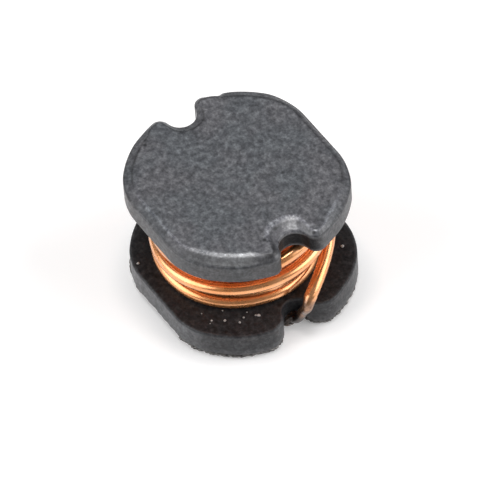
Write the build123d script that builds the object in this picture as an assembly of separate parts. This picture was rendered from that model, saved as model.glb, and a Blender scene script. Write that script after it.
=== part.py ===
"""SMD power inductor: a ferrite drum core wound with enamelled copper wire.

Millimetres, +Z up. The origin is at the middle of the underside, on the plane of the terminals.
The notches that the wire ends run through are at +X and -X, and the two flats are at +Y and -Y.
"""
from build123d import *
from math import atan2, ceil, cos, degrees, hypot, radians, sin, sqrt
import os

# Drum core
body_height = 5.15
top_diameter = 7.8
top_thickness = 0.93
bottom_diameter = 7.9
bottom_thickness = 1.12
flat_depth = 0.375
corner_radius = 2.3
post_diameter = 4.5

# Wire notches: a round root that opens through two rounded mouth corners
top_notch_depth = 0.95
top_notch_root = 0.58
top_notch_mouth = 0.35
bottom_notch_depth = 1.06
bottom_notch_root = 0.52
bottom_notch_mouth = 0.75

# Edges of the pressed ferrite
rim_inset = 0.30
rim_drop = 0.14
rim_round = 0.2
foot_inset = 0.12
foot_rise = 0.2
edge_break = 0.05

# Terminals: plated pads under both ends of the bottom flange
terminal_thickness = 0.10
terminal_gap = 2.4
terminal_corner = 0.25

# Winding: its route has a point every coil_step degrees and an arc pair every arc_stride points,
# and its section has wire_sides flats, so that the many turns keep few facets
wire_diameter = 0.45
wire_clearance = 0.02
post_clearance = 0.04
part_turn = 1 / 3
loose_turn = 0.45
tail_angle = 47
coil_step = 30
arc_stride = 2
wire_sides = 10

# Grooves that hold the soldered wire ends
groove_side_gap = 0.06
groove_start = 1.75
wire_lift = 0.045
wire_end_setback = 0.2
solder_reach = 0.10
solder_clearance = 0.002

# Heights and radii that follow
bottom_under = terminal_thickness
bottom_top = bottom_under + bottom_thickness
top_under = body_height - top_thickness
wire_radius = wire_diameter / 2
wire_pitch = wire_diameter + wire_clearance
first_radius = post_diameter / 2 + post_clearance + wire_radius
second_radius = first_radius + wire_pitch
lowest_turn = bottom_top + wire_clearance + wire_radius
highest_turn = top_under - wire_clearance - wire_radius
window = highest_turn - lowest_turn
first_turns = int(window / wire_pitch - part_turn) + part_turn
groove_width = wire_diameter + 2 * groove_side_gap
groove_roof = wire_lift + wire_diameter + groove_side_gap
wire_end_height = wire_lift + wire_radius


class Flange:
    """The outline of one flange: round ends, two flats and a notch at each end."""

    def __init__(self, diameter, notch_depth, notch_root, notch_mouth):
        self.radius = diameter / 2
        self.half_width = self.radius - flat_depth
        self.root = notch_root
        self.mouth = notch_mouth
        self.root_x = self.radius - notch_depth + notch_root
        reach = self.radius - notch_mouth
        span = notch_root + notch_mouth
        self.mouth_x = (reach**2 - span**2 + self.root_x**2) / (2 * self.root_x)
        self.mouth_y = sqrt(reach**2 - self.mouth_x**2)
        self.corner_y = self.half_width - corner_radius
        self.corner_x = sqrt((self.radius - corner_radius) ** 2 - self.corner_y**2)

    def face(self, inset=0.0):
        """The outline as a face, drawn in by inset all round."""
        root_end = degrees(atan2(self.mouth_y, self.mouth_x - self.root_x))
        mouth_start = degrees(atan2(-self.mouth_y, self.root_x - self.mouth_x))
        mouth_end = degrees(atan2(self.mouth_y, self.mouth_x))
        corner_start = degrees(atan2(self.corner_y, self.corner_x))
        mouth_centre = (self.mouth_x, self.mouth_y)
        corner_centre = (self.corner_x, self.corner_y)
        flat_y = self.half_width - inset
        quarter = [
            CenterArc((self.root_x, 0), self.root + inset, root_end, 180 - root_end),
            CenterArc(mouth_centre, self.mouth - inset, mouth_start, mouth_end - mouth_start),
            CenterArc((0, 0), self.radius - inset, mouth_end, corner_start - mouth_end),
            CenterArc(corner_centre, corner_radius - inset, corner_start, 90 - corner_start),
            Line((self.corner_x, flat_y), (0, flat_y)),
        ]
        half = quarter + [edge.mirror(Plane.XZ) for edge in quarter]
        return make_face(Wire(half + [edge.mirror(Plane.YZ) for edge in half]))


top_flange = Flange(top_diameter, top_notch_depth, top_notch_root, top_notch_mouth)
bottom_flange = Flange(bottom_diameter, bottom_notch_depth, bottom_notch_root, bottom_notch_mouth)


def prism(face, low, high):
    """A face drawn on the ground plane, made solid from one height to another."""
    return extrude(Pos(0, 0, low) * face, high - low)


def rim(solid, height):
    """The edges that lie flat at one height."""
    return [e for e in solid.edges() if abs(e.bounding_box().min.Z - height) < 1e-4
            and abs(e.bounding_box().max.Z - height) < 1e-4]


def level(solid, height):
    """The flat face at one height."""
    return min(solid.faces(), key=lambda f: abs(f.bounding_box().min.Z - height)
               + abs(f.bounding_box().max.Z - height))


def groove():
    """The slot under the +X end, from its round inner end out through the notch."""
    outer = bottom_flange.radius
    run = Pos((groove_start + outer) / 2, 0) * Rectangle(outer - groove_start, groove_width)
    return run + Pos(groove_start, 0) * Circle(groove_width / 2)


def both_ends(solid):
    """A solid at the +X end and its mirror image at the -X end."""
    return [solid, solid.mirror(Plane.YZ)]


def make_top_flange():
    """The upper flange: a shallow sloped rim round the pick-up face, its inner line eased."""
    flange = prism(top_flange.face(), top_under, body_height)
    top = level(flange, body_height)
    flange = chamfer(rim(flange, body_height), rim_inset, rim_drop, reference=top)
    return fillet(rim(flange, body_height), rim_round)


def make_bottom_flange():
    """The lower flange: broken upper edge, sloped foot, a wire groove under each end."""
    flange = prism(bottom_flange.face(), bottom_under, bottom_top)
    flange = chamfer(rim(flange, bottom_top), edge_break)
    under = level(flange, bottom_under)
    flange = chamfer(rim(flange, bottom_under), foot_inset, foot_rise, reference=under)
    for slot in both_ends(prism(groove(), bottom_under, groove_roof)):
        flange -= slot
    return flange


def make_drum_core():
    """The ferrite core, pressed and sintered in one piece: two flanges on a round post."""
    post = prism(Circle(post_diameter / 2), bottom_top - edge_break, top_under + edge_break)
    return make_top_flange() + post + make_bottom_flange()


def lead_route(side):
    """From the soldered end in the groove, out to the notch and up its wall, at one end."""
    wall = bottom_flange.radius - bottom_notch_depth
    return [
        (side * (groove_start + wire_end_setback), 0, wire_end_height),
        (side * (wall - 0.25), 0, wire_end_height),
        (side * (wall + 0.20), 0.08, wire_end_height + 0.04),
        (side * (wall + 0.43), 0.25, wire_end_height + 0.28),
        (side * (wall + 0.65), 0.32, bottom_top + 0.08),
    ]


def turn_point(angle, radius, height):
    """A point on the winding, by its angle in degrees clockwise from the front notch."""
    return (radius * cos(radians(angle)), -radius * sin(radians(angle)), height)


def spread(stations, step):
    """Points at even angles along (angle, radius, height) stations."""
    points = []
    for (a0, r0, z0), (a1, r1, z1) in zip(stations, stations[1:]):
        count = max(1, round((a1 - a0) / step))
        for i in range(count):
            t = i / count
            points.append(turn_point(a0 + t * (a1 - a0), r0 + t * (r1 - r0), z0 + t * (z1 - z0)))
    return points + [turn_point(*stations[-1])]


def first_layer():
    """Over the flange from the rear notch, then up the post; the first turn has sprung loose."""
    entry = bottom_flange.root_x + 0.15
    start = -60
    end = start + 360 * first_turns
    rise = window / first_turns
    return [
        (-165, entry - 0.04, lowest_turn + 0.20),
        (-158, entry - 0.09, lowest_turn + 0.22),
        (-146, entry - 0.22, lowest_turn + 0.14),
        (-130, entry - 0.42, lowest_turn + 0.03),
        (-110, second_radius - 0.06, lowest_turn),
        (start, first_radius, lowest_turn),
        (-13, first_radius, lowest_turn),
        (31, first_radius + 0.03, lowest_turn),
        (65, first_radius + 0.40 * loose_turn, lowest_turn + 0.02 * rise),
        (94, first_radius + 0.67 * loose_turn, lowest_turn + 0.09 * rise),
        (128, first_radius + loose_turn, lowest_turn + 0.25 * rise),
        (160, first_radius + 0.75 * loose_turn, lowest_turn + 0.50 * rise),
        (210, first_radius + 0.02, lowest_turn + 0.75 * rise),
        (start + 360, first_radius, lowest_turn + rise),
        (end, first_radius, highest_turn),
        (end + 35, first_radius + 0.38 * wire_pitch, highest_turn),
        (end + 75, first_radius + 0.62 * wire_pitch, highest_turn),
        (end + 120, first_radius + 0.80 * wire_pitch, highest_turn),
        (end + 180, second_radius, highest_turn - 0.01),
    ]


def second_layer(start):
    """Back down over the first layer in wide loose turns: (degrees on, share of the window down)."""
    drops = [(60, 0.02), (111, 0.078), (153, 0.209), (212, 0.289), (300, 0.349), (436, 0.408),
             (471, 0.450), (513, 0.508), (572, 0.627), (660, 0.667)]
    turns = [(start + on, second_radius, highest_turn - share * window) for on, share in drops]
    end = 360 * ceil((start + 700 + tail_angle) / 360) - tail_angle
    return turns + [(end - 33, second_radius + 0.04, highest_turn - 0.70 * window),
                    (end, second_radius + 0.08, highest_turn - 0.711 * window)]


def tail(last, entry):
    """Off the second layer and out to the front notch: shares of the way round, out and down."""
    shares = [(0.30, 0.13, 0.13), (0.60, 0.42, 0.26), (0.85, 0.78, 0.51)]
    angle, radius, height = last
    on = (-degrees(atan2(entry[1], entry[0])) - angle) % 360
    out = hypot(entry[0], entry[1]) - radius
    down = entry[2] - height
    return [turn_point(angle + a * on, radius + r * out, height + z * down) for a, r, z in shares]


def winding_route():
    """Points of the whole wire: the rear lead, the coil, and the tail with the front lead."""
    rear = lead_route(-1)
    front = lead_route(1)
    first = first_layer()
    second = second_layer(first[-1][0])
    coil = spread(first + second, coil_step)
    return rear, coil, tail(second[-1], front[-1]) + front[::-1]


def tangent_arc(start, heading, end):
    """The arc that leaves start along heading and reaches end, or a line where it is straight."""
    if ((end - start).normalized() - heading).length < 0.002:
        return Line(start, end)
    return TangentArc(start, end, tangent=heading)


def two_arcs(start, heading, end, arrival):
    """Two arcs that meet smoothly between start and end, with a given direction at each."""
    gap = end - start
    bend = 2 * (1 - heading.dot(arrival))
    along = gap.dot(heading + arrival)
    if bend < 1e-7:
        reach = gap.dot(gap) / (2 * along)
    else:
        reach = (sqrt(along**2 + bend * gap.dot(gap)) - along) / bend
    first_corner = start + heading * reach
    last_corner = end - arrival * reach
    middle = (first_corner + last_corner) / 2
    across = (last_corner - first_corner).normalized()
    return [tangent_arc(start, heading, middle), tangent_arc(middle, across, end)]


def wire_arcs():
    """The wire's centre line as arcs, each of which leaves in the direction the last one ended."""
    rear, coil, rest = winding_route()
    curve = Spline(*rear, *coil, *rest)
    route = [Vector(*point) for point in rear + coil[::arc_stride] + rest]
    stops = [(point, curve % curve.param_at_point(point)) for point in route]
    return [arc for a, b in zip(stops, stops[1:]) for arc in two_arcs(*a, *b)]


def make_winding(clearance=0.0):
    """The enamelled wire, swept in one piece from terminal to terminal, or its room in the solder."""
    arcs = wire_arcs()
    start = Plane(origin=arcs[0] @ 0, z_dir=arcs[0] % 0)
    section = start * RegularPolygon(wire_radius + clearance, wire_sides)
    return sweep(section, path=Wire(arcs))


def make_terminal():
    """The plated pad under the +X end, split by the wire groove."""
    outline = bottom_flange.face(foot_inset)
    reach = bottom_flange.radius
    end_half = Pos(terminal_gap / 2 + reach / 2, 0) * Rectangle(reach, 2 * reach)
    pad = prism((outline & end_half) - groove(), 0, terminal_thickness)
    inner = [e for e in pad.edges().filter_by(Axis.Z) if abs(e.center().X - terminal_gap / 2) < 1e-4]
    return fillet([e for e in inner if abs(e.center().Y) > groove_width], terminal_corner)


def make_solder(side, wire_room):
    """The solder that fills one groove round the wire end and stands a little into the notch."""
    inner = groove_start - groove_width / 2
    nose = bottom_flange.radius - bottom_notch_depth + solder_reach
    fill = Pos(side * (inner + nose) / 2, 0) * SlotOverall(nose - inner, groove_width)
    return prism(fill, 0, groove_roof) - wire_room


def main():
    """Build every piece and write one STEP file for each."""
    wire_room = make_winding(solder_clearance)
    terminal_front, terminal_rear = both_ends(make_terminal())
    parts = {
        "drum_core": make_drum_core(),
        "winding": make_winding(),
        "terminal_front": terminal_front,
        "terminal_rear": terminal_rear,
        "solder_front": make_solder(1, wire_room),
        "solder_rear": make_solder(-1, wire_room),
    }
    os.makedirs("parts", exist_ok=True)
    for name, shape in parts.items():
        export_step(shape, f"parts/{name}.step")
        print(name, len(shape.solids()), round(shape.volume, 3), shape.is_valid)


main()
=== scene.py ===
"""Looks of the SMD power inductor: ferrite drum core, enamelled copper winding, terminals, solder.

Sizes are in millimetres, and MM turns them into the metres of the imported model's frame: +Z up, the
wire's outer end at +X.
"""
import math

import bmesh
import bpy
import numpy as np
from mathutils import Matrix, Vector, noise


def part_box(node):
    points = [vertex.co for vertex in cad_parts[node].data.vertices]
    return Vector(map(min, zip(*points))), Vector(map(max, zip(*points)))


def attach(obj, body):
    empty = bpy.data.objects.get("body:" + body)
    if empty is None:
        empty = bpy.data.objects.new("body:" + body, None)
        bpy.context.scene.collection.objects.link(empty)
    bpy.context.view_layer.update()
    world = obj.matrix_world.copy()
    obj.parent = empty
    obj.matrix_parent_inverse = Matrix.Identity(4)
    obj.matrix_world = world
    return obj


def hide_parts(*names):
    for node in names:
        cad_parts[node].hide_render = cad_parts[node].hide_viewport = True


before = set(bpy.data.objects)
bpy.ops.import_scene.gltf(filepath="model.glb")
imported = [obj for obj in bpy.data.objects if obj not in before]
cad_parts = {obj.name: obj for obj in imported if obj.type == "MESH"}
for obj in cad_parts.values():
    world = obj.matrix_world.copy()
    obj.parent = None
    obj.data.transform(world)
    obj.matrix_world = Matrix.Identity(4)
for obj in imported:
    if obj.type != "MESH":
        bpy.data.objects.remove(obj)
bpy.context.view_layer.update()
MM = 0.001

# ---------------------------------------------------------------- sizes, in millimetres
core_low, core_high = (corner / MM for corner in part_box("drum_core"))
body_height = core_high.z
terminal_thickness = core_low.z
bottom_width = 2 * core_high.y
bottom_diameter = 7.9
bottom_thickness = 1.12
top_diameter = 7.8
top_width = 7.05
top_thickness = 0.93
corner_radius = 2.3
post_radius = 2.25
bottom_top = terminal_thickness + bottom_thickness
top_under = body_height - top_thickness

# notches: how deep, and the radii of their root and lips
top_notch_depth = 0.95
top_notch_root = 0.58
top_notch_lip = 0.35
bottom_notch_depth = 1.06
bottom_notch_root = 0.52
bottom_notch_lip = 0.75

# the upper flange's sloped rim, which is wider and drops more, by a share, towards the front and in
# a ring round the front notch
rim_inset = 0.30
rim_drop = 0.14
rim_widening = 0.15
rim_deepening = 0.45
ring_widening = 0.20
ring_deepening = 0.35
deepest_inset = 0.48
under_round = 0.05
shoulder_round = 0.08
crown_round = 0.55
wide_rim = (3.1, -2.3)
# the front notch, round which the upper flange's side is darkened most as painted shade
front_notch = (3.3, 0.0)
# a ring round the front notch, where the rim drops deeper and is lightened: partly a rubbed edge,
# partly a painted highlight
ring_place = (2.95, 0.0)
ring_widest = (2.95, 0.12)
# direction towards the camera, in plan: the rim gets a painted highlight on the side that faces it
# and painted shade on the far side
TOWARDS_VIEW = (0.864, -0.503)

# a chip beside the rear notch, and a patch of painted shade beside the front one
chip_place = (-3.67, 1.42)
chip_reach = 0.38
chip_depth = 0.075
shade_patch_place = (3.6, -0.8)

# the lower flange's pressed foot and upper edge, the wire grooves and the terminals
foot_inset = 0.12
foot_rise = 0.20
edge_round = 0.07
groove_start = 1.75
groove_width = 0.57
groove_roof = 0.555
terminal_gap = 2.4

# the wire and its winding
wire_diameter = 0.45
wire_clearance = 0.02
post_clearance = 0.04
loose_turn = 0.45
tail_angle = 47  # degrees short of the front notch
wire_end_height = 0.27
wire_end_x = 1.95
bare_length = 2.55
bare_thinning = 0.05
enamel_lip = 0.012
# the wire's last stretch at each end is darkened nearly black as painted shade: fully out to the
# first length, fading out by the second
burnt_length = 1.45
unburnt_length = 1.85
wire_sides = 28
wire_step = 0.05
wire_radius = wire_diameter / 2
wire_pitch = wire_diameter + wire_clearance


# ---------------------------------------------------------------- outlines
def arc_points(centre, radius, start, sweep, count, hollow=False):
    """Points and outward normals along an arc, its last end left out."""
    angle = np.radians(start + sweep * np.arange(count) / count)
    ray = np.column_stack([np.cos(angle), np.sin(angle)])
    return np.array(centre) + radius * ray, -ray if hollow else ray


def step(values, low, high):
    """A smooth step from 0 at low to 1 at high."""
    t = np.clip((np.asarray(values, float) - low) / (high - low), 0, 1)
    return t * t * (3 - 2 * t)


class Outline:
    """A flange seen from above: round ends, two flats and a notch at each end."""

    def __init__(self, diameter, width, notch_depth, root, mouth):
        # root and mouth are the radii of the notch's inner end and of its two lips
        radius, half_width = diameter / 2, width / 2
        root_x = radius - notch_depth + root
        reach, span = radius - mouth, root + mouth
        mouth_x = (reach**2 - span**2 + root_x**2) / (2 * root_x)
        mouth_y = math.sqrt(reach**2 - mouth_x**2)
        corner_y = half_width - corner_radius
        corner_x = math.sqrt((radius - corner_radius) ** 2 - corner_y**2)
        root_end = math.degrees(math.atan2(mouth_y, mouth_x - root_x))
        mouth_start = math.degrees(math.atan2(-mouth_y, root_x - mouth_x))
        mouth_end = math.degrees(math.atan2(mouth_y, mouth_x))
        corner_start = math.degrees(math.atan2(corner_y, corner_x))
        flat = np.linspace(corner_x, 0, 20, endpoint=False)
        stretches = [
            arc_points((root_x, 0), root, 180, root_end - 180, 26, hollow=True),
            arc_points((mouth_x, mouth_y), mouth, mouth_start, mouth_end - mouth_start, 22),
            arc_points((0, 0), radius, mouth_end, corner_start - mouth_end, 26),
            arc_points((corner_x, corner_y), corner_radius, corner_start, 90 - corner_start, 34),
            (np.column_stack([flat, np.full(20, half_width)]), np.tile([0.0, 1.0], (20, 1))),
        ]
        points = np.vstack([s[0] for s in stretches] + [[[0, half_width]]])
        normals = np.vstack([s[1] for s in stretches] + [[[0.0, 1.0]]])
        flip = np.array([-1, 1])
        half = np.vstack([points, (points * flip)[-2:0:-1]])
        half_normals = np.vstack([normals, (normals * flip)[-2:0:-1]])
        self.points = np.vstack([half, -half])
        self.normals = np.vstack([half_normals, -half_normals])
        lips = [(mouth_x * a, mouth_y * b) for a in (1, -1) for b in (1, -1)]
        gaps = [np.linalg.norm(self.points - np.array(lip), axis=1) for lip in lips]
        tight = 1 - step(np.min(gaps, axis=0), 1.05 * mouth, 2.2 * mouth)
        self.share = 1 - tight * (1 - min(1, 0.80 * mouth / deepest_inset))

    def loop(self, inset, height):
        """The outline drawn in by inset (one number or one for each point), at a height.

        Beside the notch's lips it shrinks, to stay under their radius.
        """
        inset = np.broadcast_to(inset, len(self.points)) * self.share
        flat = self.points - self.normals * inset[:, None]
        return np.column_stack([flat, np.broadcast_to(height, len(flat))])


top_outline = Outline(top_diameter, top_width, top_notch_depth, top_notch_root, top_notch_lip)
bottom_outline = Outline(bottom_diameter, bottom_width, bottom_notch_depth, bottom_notch_root,
                         bottom_notch_lip)
COUNT = len(top_outline.points)  # both outlines have as many points


def rounding(corner, before, after, radius, steps):
    """Points of a round of a given radius at a profile corner, between the two points beside it."""
    corner, before, after = (np.array(p, float) for p in (corner, before, after))
    u = (before - corner) / np.linalg.norm(before - corner)
    v = (after - corner) / np.linalg.norm(after - corner)
    half = math.acos(float(np.clip(u @ v, -1, 1))) / 2
    centre = corner + (u + v) / np.linalg.norm(u + v) * radius / math.sin(half)
    first = corner + u * radius / math.tan(half) - centre
    last = corner + v * radius / math.tan(half) - centre
    turn = math.pi - 2 * half
    return [
        centre + (math.sin((1 - t) * turn) * first + math.sin(t * turn) * last) / math.sin(turn)
        for t in np.linspace(0, 1, steps + 1)
    ]


def ragged(points, size, seed):
    """Smooth random numbers from -1 to 1 at points in millimetres."""
    shift = Vector((seed * 7.1, seed * 3.7, seed * 1.9))
    return np.array([noise.noise(Vector(p) / size + shift) for p in points])


def mesh_object(name, points, faces, **traits):
    """A mesh from points in millimetres. Traits, a number for each point, become attributes."""
    mesh = bpy.data.meshes.new(name)
    mesh.from_pydata([tuple(p) for p in np.asarray(points) * MM], [], faces)
    for trait, values in traits.items():
        layer = mesh.attributes.new(trait, "FLOAT", "POINT")
        layer.data.foreach_set("value", np.asarray(values, dtype=np.float32))
    obj = bpy.data.objects.new(name, mesh)
    bpy.context.scene.collection.objects.link(obj)
    return obj


def bridge(loops, closed=True):
    """Quads between successive loops of equal length."""
    count = len(loops[0])
    around = count if closed else count - 1
    return [
        (a * count + i, a * count + (i + 1) % count,
         (a + 1) * count + (i + 1) % count, (a + 1) * count + i)
        for a in range(len(loops) - 1) for i in range(around)
    ]


def smooth(obj, angle=35):
    """Smooth shading, with edges sharper than angle left as they are."""
    for face in obj.data.polygons:
        face.use_smooth = True
    obj.data.set_sharp_from_angle(angle=math.radians(angle))


def tidy(obj):
    """Weld doubles and make the faces look outward."""
    work = bmesh.new()
    work.from_mesh(obj.data)
    bmesh.ops.remove_doubles(work, verts=work.verts, dist=1e-8)
    bmesh.ops.recalc_face_normals(work, faces=work.faces)
    work.to_mesh(obj.data)
    work.free()


# ---------------------------------------------------------------- drum core
def spokes(loop, inner, shares):
    """Loops on the way from one loop to another."""
    return [loop + (inner - loop) * share for share in shares]


def spoke_angles(outline, reach=12):
    """An angle for each outline point, evened out so that spokes to them fan out gently."""
    angle = np.unwrap(np.arctan2(outline.points[:, 1], outline.points[:, 0]))
    uneven = angle - 2 * np.pi * np.arange(COUNT) / COUNT
    weights = np.hanning(2 * reach + 3)[1:-1]
    wrapped = np.concatenate([uneven[-reach:], uneven, uneven[:reach]])
    even = np.convolve(wrapped, weights / weights.sum(), "valid")
    return even + 2 * np.pi * np.arange(COUNT) / COUNT


class Shell:
    """Loops of points that follow each other over a surface, with their painted shade and their
    polish and painted highlight.
    """

    def __init__(self):
        self.loops, self.dirt, self.polish = [], [], []

    def add(self, loops, dirt=0.0, polish=0.0):
        """Adds loops, with one painted shade and one polish and painted highlight value for them all
        or for each point of a loop.
        """
        for loop in loops:
            self.loops.append(loop)
            self.dirt.append(np.broadcast_to(dirt, COUNT))
            self.polish.append(np.broadcast_to(polish, COUNT))


def near(points, centre, reach, core=0.0):
    """1 out to core from centre, fading to 0 at reach, in plan."""
    away = np.linalg.norm(points[:, :2] - np.array(centre), axis=1)
    return 1 - step(away, core, reach)


def top_swell(points):
    """How far the upper flange's real outline stands out from the drawn one, in millimetres."""
    ends = 1 - step(np.abs(points[:, 0]), 3.3, 3.65)
    return 0.03 * ends - 0.08 * step(points[:, 1], 2.9, 3.5)


def bottom_swell(points):
    """How far the lower flange's real outline stands out from the drawn one, in millimetres."""
    return 0.06 * near(points, (2.8, 2.6), 1.7) - 0.08 * near(points, (3.55, -1.3), 1.0)


def add_foot(shell):
    """The ragged pressed foot, from the edge of the underside, and the lower flange's side."""
    foot_points = bottom_outline.loop(0, terminal_thickness)
    rough = np.abs(ragged(foot_points, 0.35, 1)) + 0.6 * np.abs(ragged(foot_points, 0.11, 2))
    chips = np.clip(ragged(foot_points, 0.22, 3) - 0.25, 0, 1)
    rise = foot_rise * (0.75 + 0.7 * rough)
    foot = bottom_outline.loop(foot_inset + 0.05 * rough, terminal_thickness)
    flat = bottom_outline.loop(foot_inset + 0.06 + 0.05 * rough, terminal_thickness)
    # the underside: painted shade
    shell.add([flat, foot], 0.6)
    # the foot's rise, darkened as painted shade, most low down by the floor
    for share, dirt in ((0.35, 0.85), (0.7, 0.75), (1.0, 0.6)):
        inset = (foot_inset + 0.03 * rough) * (1 - share) ** 1.4 + 0.05 * chips * (1 - share)
        inset = inset - bottom_swell(foot_points)
        shell.add([bottom_outline.loop(inset, terminal_thickness + share * rise)], dirt)
    grain = 0.010 * np.abs(ragged(foot_points, 0.5, 4)) - bottom_swell(foot_points)
    # the lower flange's side, darkened as painted shade, less on the flat facing -Y, which is left
    # lighter as the lit side
    lit_flat = step(-bottom_outline.normals[:, 1], 0.75, 0.97)
    for z in np.linspace(terminal_thickness + 0.45, bottom_top - 0.12, 6):
        shell.add([bottom_outline.loop(grain, z)], 0.74 - 0.34 * lit_flat)
    # the lower flange's upper edge, darkened as painted shade
    for inset, z in rounding((0, bottom_top), (0, 0), (1, bottom_top), edge_round, 5):
        shell.add([bottom_outline.loop(inset + grain, z)], 0.68)


def add_rim(shell):
    """The upper flange's side, its sloped rim and the eased line inside it."""
    points = top_outline.loop(0, body_height)
    swell = top_swell(points)
    chip = chip_depth * near(points, chip_place, chip_reach, 0.16)
    front = near(points, wide_rim, 2.2, 1.1)
    ring = near(points, ring_place, 0.95, 0.5)
    wider = rim_widening * front + ring_widening * near(points, ring_widest, 0.75, 0.3)
    deeper = 1 + rim_deepening * front + ring_deepening * ring
    # 1 on the rim's far side from the camera, where it gets painted shade instead of a painted
    # highlight
    away = 1 - step(top_outline.normals @ np.array(TOWARDS_VIEW), 0.05, 0.45)
    # the upper flange's side and its rounded under edge are darkened as painted shade, most round
    # the front notch
    notch = near(points, front_notch, 1.2, 0.7)
    for inset, z in rounding((0, top_under), (1, top_under), (0, 9), under_round, 4):
        shell.add([top_outline.loop(inset - swell, z)], 0.56)
    for z in np.linspace(top_under + 0.15, body_height - rim_drop - 0.17, 5):
        shell.add([top_outline.loop(-swell, z)], 0.52 + 0.48 * notch)
    shoulder, crown = (0, body_height - rim_drop), (rim_inset, body_height)
    # the shoulder's dark line is painted shade
    for inset, z in rounding(shoulder, (0, 0), crown, shoulder_round, 6):
        height = body_height - (body_height - z) * deeper - 0.4 * chip
        shell.add([top_outline.loop(inset + chip - swell, height)], 0.48, 0.9 * ring)
    slope = rounding(crown, shoulder, (1, body_height), crown_round, 11)
    first = np.array([0.06, body_height - rim_drop + 0.028])
    # the foot of the rim's slope is darkened as painted shade, more towards the front
    for share in (0.15, 0.5):
        inset, z = first + (np.array(slope[0]) - first) * share
        out = inset + wider * inset / rim_inset + (chip - swell) * (1 - share)
        height = body_height - (body_height - z) * deeper
        shell.add([top_outline.loop(out, height)], 0.16 + 0.40 * front, 0.3 * ring)
    # a patch of painted shade on the slope beside the front notch, with no highlight in it
    shade_patch = near(points, shade_patch_place, 0.75, 0.3)
    # how strong the painted highlight is along the rim, uneven
    painted_highlight = 0.55 + 0.9 * np.abs(ragged(points, 0.5, 11))
    for i, (inset, z) in enumerate(slope):
        edge = math.exp(-((i - 5) / 2.6) ** 2)
        height = body_height - (body_height - z) * deeper
        loop = top_outline.loop(inset + wider * min(1, inset / rim_inset), height)
        # painted shade on the far side's crown and on the slope, and a painted highlight on the near
        # side's crown, which is also polished
        rim_shade = 0.55 * edge * away + (0.16 + 0.34 * front) * step(-i, -4, 0)
        rim_shade = np.maximum(rim_shade, 0.7 * shade_patch * step(-i, -11, -7))
        shine = edge * (1 - away) * painted_highlight * (1 - shade_patch) + 1.4 * ring * step(i, 2, 5) * (1 - shade_patch)
        shell.add([loop], rim_shade, np.clip(shine, 0, 1) * step(-i, -11, -8))
    inset = slope[-1][0] + 0.05
    shell.add([top_outline.loop(inset + wider, body_height)])


def make_core():
    """The whole ferrite core as one closed surface, wire grooves cut in its underside."""
    angle = spoke_angles(bottom_outline)
    ring = np.column_stack([np.cos(angle), np.sin(angle)]) * post_radius
    post = [np.column_stack([ring, np.full(COUNT, z)])
            for z in np.linspace(bottom_top, top_under, 6)]
    shell = Shell()
    add_foot(shell)
    # painted shade between the flanges: the lower flange's top, the post and the upper flange's
    # underside are darkened
    shell.add(spokes(shell.loops[-1], post[0], (0.03, 0.15, 0.35, 0.6, 0.85)), 0.86)
    shell.add(post, 0.6)
    under = top_outline.loop(under_round - top_swell(top_outline.loop(0, 0)), top_under)
    shell.add(spokes(post[-1], under, (0.15, 0.4, 0.65, 0.85, 0.97)), 0.6)
    add_rim(shell)
    faces = bridge(shell.loops)
    last = (len(shell.loops) - 1) * COUNT
    faces.append(tuple(reversed(range(COUNT))))
    faces.append(tuple(range(last, last + COUNT)))
    core = mesh_object("ferrite_core", np.vstack(shell.loops), faces,
                       dirt=np.concatenate(shell.dirt), polish=np.concatenate(shell.polish))
    tidy(core)
    for side in (1, -1):
        cut_groove(core, side)
    smooth(core, 50)
    return core


def cut_groove(core, side):
    """Cuts the wire groove out of the underside at one end."""
    outer = 4.2
    half = groove_width / 2
    turn = np.radians(np.linspace(90, 270, 25))
    inner = np.column_stack([groove_start + half * np.cos(turn), half * np.sin(turn)])
    outline = np.vstack([[outer, half], inner, [outer, -half]]) * np.array([side, 1])
    low = np.column_stack([outline, np.full(len(outline), -0.2)])
    high = np.column_stack([outline, np.full(len(outline), groove_roof)])
    faces = bridge([low, high]) + [tuple(range(len(low))), tuple(range(len(low), 2 * len(low)))]
    cutter = mesh_object("cutter", np.vstack([low, high]), faces)
    tidy(cutter)
    modifier = core.modifiers.new("groove", "BOOLEAN")
    modifier.operation = "DIFFERENCE"
    modifier.object = cutter
    modifier.solver = "EXACT"
    shaped = core.evaluated_get(bpy.context.evaluated_depsgraph_get())
    mesh = bpy.data.meshes.new_from_object(shaped)
    core.modifiers.clear()
    core.data = mesh
    bpy.data.objects.remove(cutter)


# ---------------------------------------------------------------- winding
first_radius = post_radius + post_clearance + wire_radius
second_radius = first_radius + wire_pitch
lowest_turn = bottom_top + wire_clearance + wire_radius
highest_turn = top_under - wire_clearance - wire_radius
coil_room = highest_turn - lowest_turn
first_turns = int(coil_room / wire_pitch - 1 / 3) + 1 / 3
notch_wall = bottom_diameter / 2 - bottom_notch_depth
notch_middle = notch_wall + bottom_notch_root


def lead_route(side):
    """From the soldered end in the groove, out to the notch and up its wall, at one end."""
    return [
        (side * wire_end_x, 0, wire_end_height),
        (side * 2.45, 0, wire_end_height + 0.01),
        (side * (notch_wall - 0.08), 0.03, wire_end_height + 0.03),
        (side * (notch_wall + 0.12), 0.07, wire_end_height + 0.07),
        (side * (notch_wall + 0.27), 0.14, wire_end_height + 0.19),
        (side * (notch_wall + 0.36), 0.21, wire_end_height + 0.40),
        (side * (notch_wall + 0.50), 0.30, bottom_top - 0.20),
        (side * (notch_wall + (0.65 if side > 0 else 0.61)), 0.32, bottom_top + 0.08),
    ]


def turn_point(angle, radius, height):
    """A point on the coil. It is wound clockwise as seen from above."""
    return (radius * math.cos(math.radians(angle)), -radius * math.sin(math.radians(angle)), height)


def spread(stations, gap):
    """Points about gap degrees apart along (angle, radius, height) stations, which are kept."""
    points = []
    for (a0, r0, z0), (a1, r1, z1) in zip(stations, stations[1:]):
        count = max(1, round((a1 - a0) / gap))
        for i in range(count):
            t = i / count
            points.append(turn_point(a0 + t * (a1 - a0), r0 + t * (r1 - r0), z0 + t * (z1 - z0)))
    return points + [turn_point(*stations[-1])]


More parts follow.
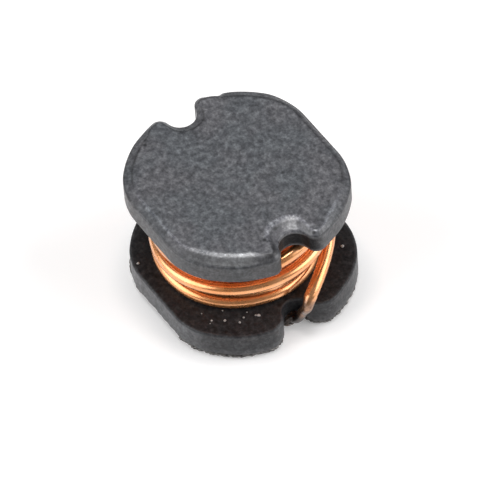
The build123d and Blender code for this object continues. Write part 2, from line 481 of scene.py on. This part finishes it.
def first_layer():
    """Stations from the rear notch on to the post, along the inner layer and out to the second."""
    entry = notch_middle + 0.15
    start = -60
    end = start + 360 * first_turns
    rise = coil_room / first_turns
    return [
        (-165, entry - 0.04, lowest_turn + 0.20),
        (-158, entry - 0.09, lowest_turn + 0.22),
        (-146, entry - 0.22, lowest_turn + 0.14),
        (-130, entry - 0.42, lowest_turn + 0.03),
        (-110, second_radius - 0.06, lowest_turn),
        (start, first_radius, lowest_turn),
        (-13, first_radius, lowest_turn),
        (31, first_radius + 0.03, lowest_turn),
        (65, first_radius + 0.40 * loose_turn, lowest_turn + 0.02 * rise),
        (94, first_radius + 0.67 * loose_turn, lowest_turn + 0.09 * rise),
        (128, first_radius + loose_turn, lowest_turn + 0.25 * rise),
        (160, first_radius + 0.75 * loose_turn, lowest_turn + 0.50 * rise),
        (210, first_radius + 0.02, lowest_turn + 0.75 * rise),
        (start + 360, first_radius, lowest_turn + rise),
        (end, first_radius, highest_turn),
        (end + 35, first_radius + 0.38 * wire_pitch, highest_turn),
        (end + 75, first_radius + 0.62 * wire_pitch, highest_turn),
        (end + 120, first_radius + 0.80 * wire_pitch, highest_turn),
        (end + 180, second_radius, highest_turn - 0.01),
    ]


def second_layer(start):
    """Stations of the open outer layer, which comes down in steps over the first."""
    drops = [(60, 0.02), (111, 0.078), (153, 0.209), (212, 0.289), (300, 0.349), (436, 0.408),
             (471, 0.450), (513, 0.508), (572, 0.627), (660, 0.667)]
    turns = [(start + on, second_radius, highest_turn - share * coil_room)
             for on, share in drops]
    end = 360 * math.ceil((start + 700 + tail_angle) / 360) - tail_angle
    return turns + [(end - 33, second_radius + 0.04, highest_turn - 0.70 * coil_room),
                    (end, second_radius + 0.08, highest_turn - 0.711 * coil_room)]


def tail(last, entry):
    """Points of the slanting tail, from the last turn to the top of the front notch."""
    shares = [(0.23, 0.08, 0.10), (0.46, 0.26, 0.18), (0.67, 0.51, 0.30), (0.80, 0.70, 0.43),
              (0.91, 0.87, 0.62)]
    angle, radius, height = last
    on = (-math.degrees(math.atan2(entry[1], entry[0])) - angle) % 360
    out = math.hypot(entry[0], entry[1]) - radius
    down = entry[2] - height
    return [turn_point(angle + a * on, radius + r * out, height + z * down) for a, r, z in shares]


def spline(points, spacing):
    """Even samples of the natural cubic spline through points, by chord length."""
    points = np.array(points, float)
    t = np.concatenate([[0], np.cumsum(np.linalg.norm(np.diff(points, axis=0), axis=1))])
    h = np.diff(t)
    count = len(points)
    matrix = np.zeros((count, count))
    right = np.zeros((count, 3))
    matrix[0, 0] = matrix[-1, -1] = 1
    for i in range(1, count - 1):
        matrix[i, i - 1:i + 2] = h[i - 1], 2 * (h[i - 1] + h[i]), h[i]
        right[i] = 6 * ((points[i + 1] - points[i]) / h[i] - (points[i] - points[i - 1]) / h[i - 1])
    bend = np.linalg.solve(matrix, right)
    s = np.linspace(0, t[-1], round(t[-1] / spacing))
    k = np.clip(np.searchsorted(t, s) - 1, 0, count - 2)
    a, b = ((t[k + 1] - s) / h[k])[:, None], ((s - t[k]) / h[k])[:, None]
    return (a * points[k] + b * points[k + 1]
            + ((a**3 - a) * bend[k] + (b**3 - b) * bend[k + 1]) * (h[k] ** 2)[:, None] / 6)


def tube(name, line, radius, sides, **traits):
    """A round tube along a line of points; a trait has one number for each point of the line."""
    along = np.gradient(line, axis=0)
    along /= np.linalg.norm(along, axis=1)[:, None]
    side = np.cross(along[0], [0, 0, 1.0])
    side /= np.linalg.norm(side)
    turns = 2 * np.pi * np.arange(sides) / sides
    loops = []
    for i, (point, ahead) in enumerate(zip(line, along)):
        side = side - ahead * (side @ ahead)
        side /= np.linalg.norm(side)
        other = np.cross(ahead, side)
        size = radius[i]
        ring = np.cos(turns)[:, None] * side + np.sin(turns)[:, None] * other
        loops.append(point + size * ring)
    faces = bridge(loops)
    last = (len(loops) - 1) * sides
    faces += [tuple(reversed(range(sides))), tuple(range(last, last + sides))]
    around = {trait: np.repeat(values, sides) for trait, values in traits.items()}
    obj = mesh_object(name, np.vstack(loops), faces, **around)
    tidy(obj)
    smooth(obj, 60)
    return obj


def make_winding():
    """The whole wire in one tube, with a stripped stretch at each end whose last part is darkened as
    painted shade.
    """
    first = first_layer()
    second = second_layer(first[-1][0])
    coil = spread(first + second, 30)
    front = lead_route(1)
    route = lead_route(-1) + coil + tail(second[-1], front[-1]) + front[::-1]
    line = spline(route, wire_step)
    pieces = np.linalg.norm(np.diff(line, axis=0), axis=1)
    along = np.concatenate([[0], np.cumsum(pieces)])
    from_end = np.minimum(along, along[-1] - along)
    stripped = 1 - step(from_end, bare_length - 0.15, bare_length + 0.15)
    lip = enamel_lip * np.exp(-((from_end - bare_length - 0.1) / 0.09) ** 2)
    burnt = 1 - step(from_end, burnt_length, unburnt_length)
    thin = bare_thinning * (1 - step(from_end, 1.9, bare_length + 0.3))
    return tube("copper_winding", line, wire_radius - thin + lip, wire_sides,
                stripped=stripped, burnt=burnt)


# ---------------------------------------------------------------- terminals and small things
def make_plate(side):
    """A plated terminal: a thin pad whose ragged edge laps up the flange's foot."""
    order = np.roll(np.arange(COUNT), COUNT // 2 if side > 0 else 0)
    edge = order[side * bottom_outline.points[order, 0] > terminal_gap / 2]
    width = 40
    ends = bottom_outline.points[edge[-1], 1], bottom_outline.points[edge[0], 1]
    inner = np.linspace(0.96 * ends[0], 0.96 * ends[1], width)
    inner_points = np.column_stack([np.full(width, side * terminal_gap / 2), inner,
                                    np.zeros(width)])
    inner_points[:, 0] += 0.03 * ragged(inner_points, 0.25, 6)
    edge_points = bottom_outline.loop(0, 0)[edge]
    coarse = np.abs(ragged(edge_points, 0.30, 7))
    fine = np.abs(ragged(edge_points, 0.12, 8))
    swell = bottom_swell(edge_points) + 0.11 * near(edge_points, (-2.6, -2.85), 0.9, 0.3)
    loops = []
    for inset, uneven, low, lift in ((0.13, 0.03, 0.0, 0), (0.07, 0.10, 0.015, 0),
                                     (0.01, 0.13, 0.07, 0.05), (0.00, 0.12, 0.12, 0.16),
                                     (0.06, 0.06, 0.15, 0.22), (0.40, 0, 0.105, 0)):
        out = bottom_outline.points[edge] - bottom_outline.normals[edge] * (
            inset + uneven * (0.6 * coarse + 0.8 * fine) - swell * (inset < 0.3))[:, None]
        height = low + lift * (0.7 * coarse + 0.7 * fine)
        rim = np.column_stack([out, height])
        straight = inner_points + np.array([0, 0, min(low, terminal_thickness + 0.005)])
        loops.append(np.vstack([rim, straight]))
    faces = bridge(loops)
    count = len(loops[0])
    last = (len(loops) - 1) * count
    faces += [tuple(reversed(range(count))), tuple(range(last, last + count))]
    # the ragged edge's loops are darkened as painted shade, the underside not
    edge_shade = np.repeat([0.0, 0.8, 1.0, 1.0, 1.0, 1.0], count)
    plate = mesh_object("plate_front" if side > 0 else "plate_rear", np.vstack(loops), faces,
                        edge=edge_shade)
    tidy(plate)
    cut_groove(plate, side)
    smooth(plate, 40)
    return plate


def blob(work, centre, size, seed, detail=3):
    """Adds a lumpy ball to a bmesh, with its middle and half sizes in millimetres."""
    made = bmesh.ops.create_icosphere(work, subdivisions=detail, radius=1)
    shift = Vector((seed * 5.3, seed * 2.9, seed * 8.7))
    for vert in made["verts"]:
        lump = 1 + 0.28 * noise.noise(vert.co * 1.7 + shift)
        lump += 0.12 * noise.noise(vert.co * 5 + shift)
        vert.co = Vector([(c + s * p * lump) * MM for c, s, p in zip(centre, size, vert.co)])


def blobs(name, spots, detail):
    """One object with a lumpy ball at each (centre, size) spot."""
    work = bmesh.new()
    for seed, (centre, size) in enumerate(spots):
        blob(work, centre, size, seed + 1, detail)
    mesh = bpy.data.meshes.new(name)
    work.to_mesh(mesh)
    work.free()
    obj = bpy.data.objects.new(name, mesh)
    bpy.context.scene.collection.objects.link(obj)
    smooth(obj, 180)
    return obj


def flux_spots(side):
    """Where the flux sits: over the wire's bend at the foot of a notch wall."""
    return [((side * (notch_wall + 0.06), 0.03, 0.40), (0.17, 0.30, 0.20)),
            ((side * (notch_wall + 0.02), -0.22, 0.30), (0.12, 0.18, 0.15)),
            ((side * (notch_wall + 0.13), 0.24, 0.36), (0.12, 0.12, 0.13))]


# specks on the lower flange: x, y and radius
DUST = [(-1.56, -3.31, 0.045), (2.04, -2.64, 0.03), (2.31, -2.27, 0.042), (2.68, -1.90, 0.036),
        (2.58, -1.67, 0.03), (2.81, -1.20, 0.048), (2.74, -1.28, 0.03), (1.97, 2.85, 0.05),
        (1.90, -2.09, 0.022), (1.58, -2.75, 0.02), (2.45, -1.45, 0.02), (2.12, -2.75, 0.018)]


# ---------------------------------------------------------------- shader helpers
def new_material(name):
    """A material with its tree, links, main shader and object coordinates."""
    material = bpy.data.materials.new(name)
    material.use_nodes = True
    nodes, links = material.node_tree.nodes, material.node_tree.links
    shader = nodes["Principled BSDF"]
    place = nodes.new("ShaderNodeTexCoord").outputs["Object"]
    return material, nodes, links, shader, place


def noise_node(nodes, links, place, size, detail=4, rough=0.6):
    """Noise with features of a given size in millimetres."""
    node = nodes.new("ShaderNodeTexNoise")
    node.inputs["Scale"].default_value = 1 / (size * MM)
    node.inputs["Detail"].default_value = detail
    node.inputs["Roughness"].default_value = rough
    links.new(place, node.inputs["Vector"])
    return node.outputs["Fac"]


def ramp(nodes, links, value, *stops):
    """A colour ramp from (place, colour) stops; a colour may be one grey number."""
    node = nodes.new("ShaderNodeValToRGB")
    elements = node.color_ramp.elements
    while len(elements) < len(stops):
        elements.new(0.5)
    for element, (where, colour) in zip(elements, stops):
        element.position = where
        colour = (colour,) * 3 if isinstance(colour, (int, float)) else colour
        element.color = (*colour, 1)
    links.new(value, node.inputs["Fac"])
    return node.outputs["Color"]


def mixed(nodes, links, blend, factor, first, second):
    """Two colours mixed or multiplied. Each input is a socket, a number or a colour."""
    node = nodes.new("ShaderNodeMix")
    node.data_type = "RGBA"
    node.blend_type = blend
    for socket, value in ((node.inputs["Factor"], factor), (node.inputs[6], first),
                          (node.inputs[7], second)):
        if isinstance(value, (int, float)):
            socket.default_value = value
        elif isinstance(value, tuple):
            socket.default_value = (*value, 1)
        else:
            links.new(value, socket)
    return node.outputs[2]


def bump(nodes, links, shader, height, depth, strength):
    """Bump of a given depth in millimetres on a shader's normal."""
    node = nodes.new("ShaderNodeBump")
    node.inputs["Distance"].default_value = depth * MM
    node.inputs["Strength"].default_value = strength
    links.new(height, node.inputs["Height"])
    links.new(node.outputs["Normal"], shader.inputs["Normal"])


def trait_node(nodes, name):
    """A mesh's trait, such as its painted shade, as a number."""
    node = nodes.new("ShaderNodeAttribute")
    node.attribute_name = name
    return node.outputs["Fac"]


def speckle(nodes, links, place, spacing, *stops):
    """Small sparse round spots, by a ramp over the distance from each spot's middle."""
    node = nodes.new("ShaderNodeTexVoronoi")
    node.inputs["Scale"].default_value = 1 / (spacing * MM)
    links.new(place, node.inputs["Vector"])
    return ramp(nodes, links, node.outputs["Distance"], *stops)


# ---------------------------------------------------------------- materials
def ferrite_material():
    """Dull dark ferrite: pressed grains of lighter and darker grey, a little shine, fine pits."""
    material, nodes, links, shader, place = new_material("ferrite")
    grains = noise_node(nodes, links, place, 0.20, 4, 0.62)
    fine = noise_node(nodes, links, place, 0.09, 3, 0.6)
    broad = noise_node(nodes, links, place, 1.6, 2, 0.5)
    colour = ramp(nodes, links, grains, (0.34, (0.050, 0.051, 0.058)),
                  (0.50, (0.089, 0.092, 0.101)), (0.68, (0.152, 0.157, 0.168)))
    shade = ramp(nodes, links, fine, (0.30, 0.58), (0.70, 1.42))
    colour = mixed(nodes, links, "MULTIPLY", 1.0, colour, shade)
    tint = ramp(nodes, links, broad, (0.40, (1.06, 1.025, 1.02)), (0.60, (0.95, 0.98, 0.985)))
    colour = mixed(nodes, links, "MULTIPLY", 1.0, colour, tint)
    pits = speckle(nodes, links, place, 0.8, (0.05, 0.35), (0.11, 1.0))
    colour = mixed(nodes, links, "MULTIPLY", 1.0, colour, pits)
    # painted highlight: the trait lifts the colour here, and below it lowers the roughness as polish
    painted_highlight = mixed(nodes, links, "MULTIPLY", 1.0, colour, (2.1, 2.1, 2.1))
    colour = mixed(nodes, links, "MIX", trait_node(nodes, "polish"), colour, painted_highlight)
    # painted shade: the trait darkens the colour here, and below it dims the specular level in the
    # same places
    dirty = mixed(nodes, links, "MULTIPLY", 1.0, colour, (0.16, 0.145, 0.14))
    colour = mixed(nodes, links, "MIX", trait_node(nodes, "dirt"), colour, dirty)
    links.new(colour, shader.inputs["Base Color"])
    dull = ramp(nodes, links, fine, (0.3, 0.46), (0.7, 0.32))
    rough = mixed(nodes, links, "MIX", trait_node(nodes, "polish"), dull, (0.19, 0.19, 0.19))
    links.new(rough, shader.inputs["Roughness"])
    shine = ramp(nodes, links, trait_node(nodes, "dirt"), (0.3, 0.5), (1.0, 0.05))
    links.new(shine, shader.inputs["Specular IOR Level"])
    shader.inputs["IOR"].default_value = 1.6
    bump(nodes, links, shader, fine, 0.006, 0.6)
    return material


def copper_material():
    """Copper under clear amber enamel, which is stripped off at both ends of the wire."""
    material, nodes, links, shader, place = new_material("enamelled_copper")
    bare = trait_node(nodes, "stripped")
    broad = noise_node(nodes, links, place, 0.8, 3, 0.5)
    drawn = noise_node(nodes, links, place, 0.35, 1, 0.4)
    fine = noise_node(nodes, links, place, 0.12, 4, 0.6)
    coated = ramp(nodes, links, broad, (0.3, (0.86, 0.33, 0.095)), (0.7, (0.95, 0.44, 0.18)))
    stained = ramp(nodes, links, fine, (0.35, (0.12, 0.050, 0.022)), (0.65, (0.40, 0.21, 0.11)))
    colour = mixed(nodes, links, "MIX", bare, coated, stained)
    # the wire's last stretch into the groove is darkened nearly to black: painted shade
    colour = mixed(nodes, links, "MIX", trait_node(nodes, "burnt"), colour, (0.030, 0.018, 0.013))
    links.new(colour, shader.inputs["Base Color"])
    shader.inputs["Metallic"].default_value = 0.8
    glossy = ramp(nodes, links, drawn, (0.3, 0.24), (0.7, 0.30))
    rough = mixed(nodes, links, "MIX", bare, glossy, (0.34, 0.34, 0.34))
    links.new(rough, shader.inputs["Roughness"])
    shader.inputs["Coat Weight"].default_value = 1.0
    shader.inputs["Coat IOR"].default_value = 1.6
    shader.inputs["Coat Roughness"].default_value = 0.2
    bump(nodes, links, shader, drawn, 0.004, 0.3)
    return material


def flux_material():
    """Flux lumps, coloured near-black as painted shade over the wire's bend, and unevenly glossy."""
    material, nodes, links, shader, place = new_material("burnt_flux")
    fine = noise_node(nodes, links, place, 0.12, 4, 0.6)
    colour = ramp(nodes, links, fine, (0.35, (0.012, 0.008, 0.006)), (0.62, (0.050, 0.028, 0.017)))
    links.new(colour, shader.inputs["Base Color"])
    links.new(ramp(nodes, links, fine, (0.3, 0.55), (0.7, 0.25)), shader.inputs["Roughness"])
    bump(nodes, links, shader, fine, 0.02, 0.7)
    return material


def dust_material():
    """Pale dust, a little uneven."""
    material, nodes, links, shader, place = new_material("pale_dust")
    fine = noise_node(nodes, links, place, 0.03, 3, 0.6)
    colour = ramp(nodes, links, fine, (0.3, (0.22, 0.20, 0.19)), (0.6, (0.50, 0.47, 0.45)))
    links.new(colour, shader.inputs["Base Color"])
    links.new(ramp(nodes, links, fine, (0.3, 0.9), (0.7, 0.7)), shader.inputs["Roughness"])
    return material


def terminal_material():
    """Tin plating, darkened as painted shade where its ragged edge laps up the foot."""
    material, nodes, links, shader, place = new_material("plated_terminal")
    fine = noise_node(nodes, links, place, 0.15, 4, 0.6)
    tin = ramp(nodes, links, fine, (0.3, (0.38, 0.37, 0.36)), (0.7, (0.52, 0.51, 0.50)))
    shaded_edge = ramp(nodes, links, fine, (0.35, (0.040, 0.037, 0.035)),
                       (0.65, (0.26, 0.25, 0.24)))
    # the ragged edge is darkened: painted shade
    colour = mixed(nodes, links, "MIX", trait_node(nodes, "edge"), tin, shaded_edge)
    links.new(colour, shader.inputs["Base Color"])
    shader.inputs["Metallic"].default_value = 0.8
    links.new(ramp(nodes, links, fine, (0.3, 0.6), (0.7, 0.38)), shader.inputs["Roughness"])
    bump(nodes, links, shader, fine, 0.01, 0.5)
    return material


def solder_material():
    """Satin solder, stained brown by flux in places."""
    material, nodes, links, shader, place = new_material("solder")
    fine = noise_node(nodes, links, place, 0.2, 4, 0.6)
    colour = ramp(nodes, links, fine, (0.4, (0.16, 0.09, 0.05)), (0.6, (0.5, 0.48, 0.46)))
    links.new(colour, shader.inputs["Base Color"])
    shader.inputs["Metallic"].default_value = 0.7
    links.new(ramp(nodes, links, fine, (0.3, 0.5), (0.7, 0.3)), shader.inputs["Roughness"])
    bump(nodes, links, shader, fine, 0.01, 0.5)
    return material


def dress(obj, material):
    """Gives an object one material."""
    obj.data.materials.clear()
    obj.data.materials.append(material)


# ---------------------------------------------------------------- pieces
ferrite = ferrite_material()
core = make_core()
dress(core, ferrite)
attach(core, "root")
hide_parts("drum_core")

copper = copper_material()
winding = make_winding()
dress(winding, copper)
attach(winding, "root")
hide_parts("winding")

plating = terminal_material()
for side, node in ((1, "terminal_front"), (-1, "terminal_rear")):
    plate = make_plate(side)
    dress(plate, plating)
    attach(plate, "root")
    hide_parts(node)

# flux lumps, coloured near-black as painted shade over the wire's bend
residue = flux_material()
for side, name in ((1, "flux_front"), (-1, "flux_rear")):
    flux = blobs(name, flux_spots(side), 4)
    dress(flux, residue)
    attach(flux, "root")

specks = [((x, y, bottom_top + 0.4 * r), (1.25 * r, 1.25 * r, 0.7 * r)) for x, y, r in DUST]
dust = blobs("dust_specks", specks, 2)
dress(dust, dust_material())
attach(dust, "root")

solder = solder_material()
for name in ("solder_front", "solder_rear"):
    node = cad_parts[name]
    for slot in node.material_slots:
        slot.material = solder


# ---------------------------------------------------------------- floor, light and camera
FLOOR_HALF = 400
FLOOR_LIFT = 0.2
WORLD_STRENGTH = 0.16
LAMP_AIM = (0, 0, 2.5)
# name, watts, size in millimetres, (azimuth, elevation) in degrees and distance
LAMPS = [
    ("overhead", 0.64, (160, 100), (240, 86), 400),
    ("left_box", 0.46, (260, 260), (-20, 30), 260),
    ("right_box", 0.50, (260, 260), (140, 30), 260),
]


def make_floor():
    """A white floor, lifted only for camera, glossy and transmission rays."""
    half = FLOOR_HALF * MM
    corners = [(-half, -half, 0), (half, -half, 0), (half, half, 0), (-half, half, 0)]
    mesh = bpy.data.meshes.new("floor")
    mesh.from_pydata(corners, [], [(0, 1, 2, 3)])
    floor = bpy.data.objects.new("floor", mesh)
    bpy.context.scene.collection.objects.link(floor)
    material, nodes, links, shader, place = new_material("white_paper")
    shader.inputs["Base Color"].default_value = (0.92, 0.91, 0.91, 1)
    shader.inputs["Roughness"].default_value = 0.9
    shader.inputs["Specular IOR Level"].default_value = 0.0
    path = nodes.new("ShaderNodeLightPath")
    total = nodes.new("ShaderNodeMath")
    total.operation = "ADD"
    links.new(path.outputs["Is Camera Ray"], total.inputs[0])
    links.new(path.outputs["Is Glossy Ray"], total.inputs[1])
    more = nodes.new("ShaderNodeMath")
    more.operation = "ADD"
    links.new(total.outputs[0], more.inputs[0])
    links.new(path.outputs["Is Transmission Ray"], more.inputs[1])
    lift = nodes.new("ShaderNodeMath")
    lift.operation = "MULTIPLY"
    lift.inputs[1].default_value = FLOOR_LIFT
    links.new(more.outputs[0], lift.inputs[0])
    shader.inputs["Emission Color"].default_value = (1, 1, 1, 1)
    links.new(lift.outputs[0], shader.inputs["Emission Strength"])
    floor.data.materials.append(material)


def area_light(name, power, size, direction, distance):
    """An oval softbox of a (width, height) size, which faces LAMP_AIM from a direction."""
    lamp = bpy.data.lights.new(name, "AREA")
    lamp.energy = power
    lamp.shape = "ELLIPSE"
    lamp.size, lamp.size_y = size[0] * MM, size[1] * MM
    obj = bpy.data.objects.new(name, lamp)
    azimuth, elevation = (math.radians(a) for a in direction)
    away = Vector((math.sin(azimuth) * math.cos(elevation),
                   -math.cos(azimuth) * math.cos(elevation), math.sin(elevation)))
    across = Vector((math.cos(azimuth), math.sin(azimuth), 0))
    turn = Matrix((across, away.cross(across), away)).transposed().to_4x4()
    obj.matrix_world = Matrix.Translation((Vector(LAMP_AIM) + away * distance) * MM) @ turn
    bpy.context.scene.collection.objects.link(obj)


def make_world():
    """Dim even light, which the camera sees as white."""
    world = bpy.data.worlds.new("studio")
    bpy.context.scene.world = world
    world.use_nodes = True
    nodes, links = world.node_tree.nodes, world.node_tree.links
    background = nodes["Background"]
    background.inputs["Color"].default_value = (1, 1, 1, 1)
    background.inputs["Strength"].default_value = WORLD_STRENGTH
    path = nodes.new("ShaderNodeLightPath")
    white = nodes.new("ShaderNodeBackground")
    white.inputs["Color"].default_value = (1, 1, 1, 1)
    white.inputs["Strength"].default_value = 1.0
    mix = nodes.new("ShaderNodeMixShader")
    links.new(path.outputs["Is Camera Ray"], mix.inputs[0])
    links.new(background.outputs[0], mix.inputs[1])
    links.new(white.outputs[0], mix.inputs[2])
    links.new(mix.outputs[0], nodes["World Output"].inputs["Surface"])


# the view: angles in degrees, the rest in millimetres
VIEW_AZIMUTH = 59.77
VIEW_ELEVATION = 50.89
VIEW_ROLL = -4.496
VIEW_DISTANCE = 205.6
VIEW_LENS = 429.0
AIM_SIDE = 0.324
AIM_DOWN = 0.918
AIM_HEIGHT = (body_height + 0.02) / 2


def make_camera():
    """The camera at the photograph's viewing angle."""
    azimuth, elevation, roll = (math.radians(a) for a in (VIEW_AZIMUTH, VIEW_ELEVATION, VIEW_ROLL))
    back = Vector((math.sin(azimuth) * math.cos(elevation),
                   -math.cos(azimuth) * math.cos(elevation), math.sin(elevation)))
    right = Vector((math.cos(azimuth), math.sin(azimuth), 0))
    up = back.cross(right)
    across = right * math.cos(roll) + up * math.sin(roll)
    above = up * math.cos(roll) - right * math.sin(roll)
    aim = Vector((0, 0, AIM_HEIGHT)) + across * AIM_SIDE - above * AIM_DOWN
    data = bpy.data.cameras.new("camera")
    data.lens = VIEW_LENS
    data.sensor_width = 36
    data.clip_start = 0.01
    data.clip_end = 10
    camera = bpy.data.objects.new("camera", data)
    bpy.context.scene.collection.objects.link(camera)
    turn = Matrix((across, above, back)).transposed().to_4x4()
    camera.matrix_world = Matrix.Translation((aim + back * VIEW_DISTANCE) * MM) @ turn
    bpy.context.scene.camera = camera


make_floor()
make_world()
for lamp in LAMPS:
    area_light(*lamp)
make_camera()
bpy.context.scene.view_settings.view_transform = "Standard"
